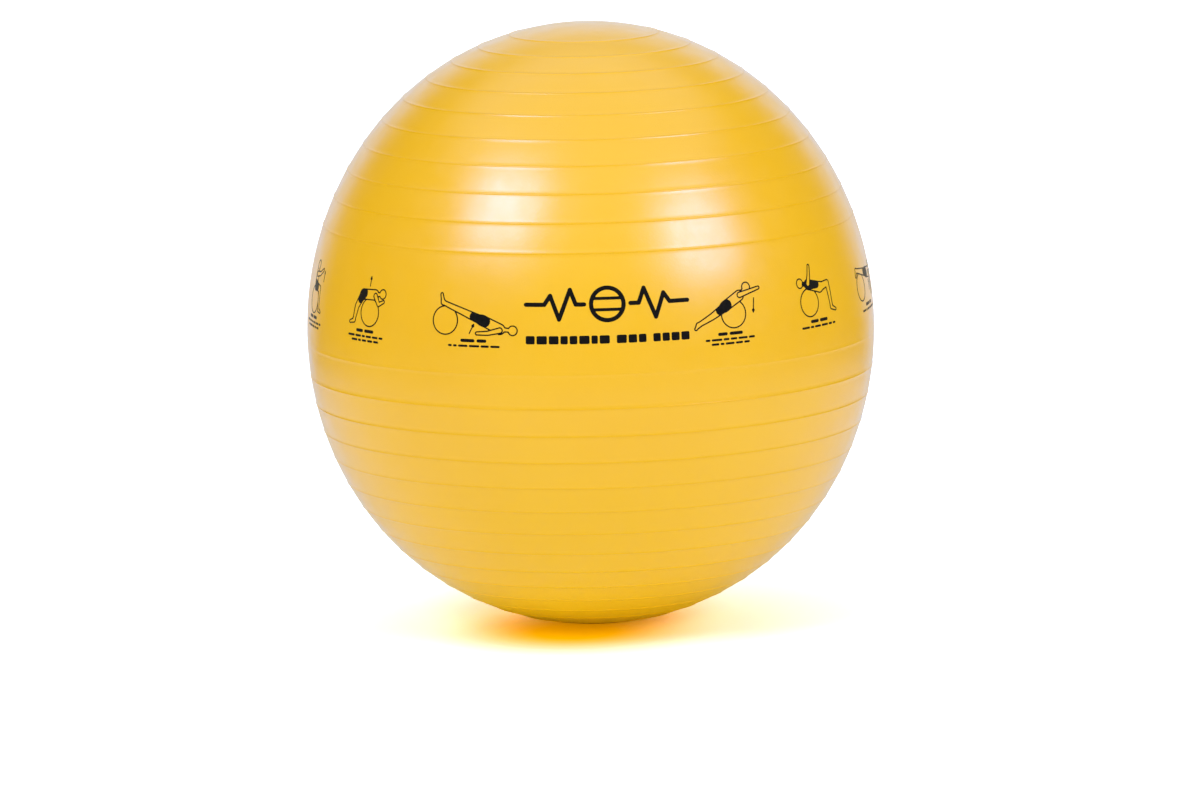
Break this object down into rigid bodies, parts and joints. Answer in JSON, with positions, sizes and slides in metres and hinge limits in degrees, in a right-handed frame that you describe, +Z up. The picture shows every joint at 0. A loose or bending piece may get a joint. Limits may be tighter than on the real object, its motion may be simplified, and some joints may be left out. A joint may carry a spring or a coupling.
{
  "type": "exercise ball",
  "caption": "Inflatable ribbed exercise ball with a smooth printed belt, standing on a small flat patch, with a recessed valve seat and a pull-out stopper.",
  "frame": {"origin": "centre of the small flat patch under the ball, on the floor", "axes": "+Z up the ball's axis of revolution, -Y out of the printed front, +Y towards the valve, +X to the right as seen from the printed front"},
  "size_m": [0.45, 0.45, 0.4769],
  "materials": {
    "skin_pvc": "satin",
    "seat_pvc": "satin",
    "plug_polythene": "satin",
    "print_ink": "satin"
  },
  "bodies": {
    "ball": {"skin": "skin_pvc", "valve_seat": "seat_pvc"},
    "plug": {"valve_plug": "plug_polythene"}
  },
  "joints": [
    {"name": "plug_pull", "type": "slide", "parent": "ball", "child": "plug", "axis": [0, 0.9918, 0.1275], "range_m": [0, 0.03]}
  ]
}
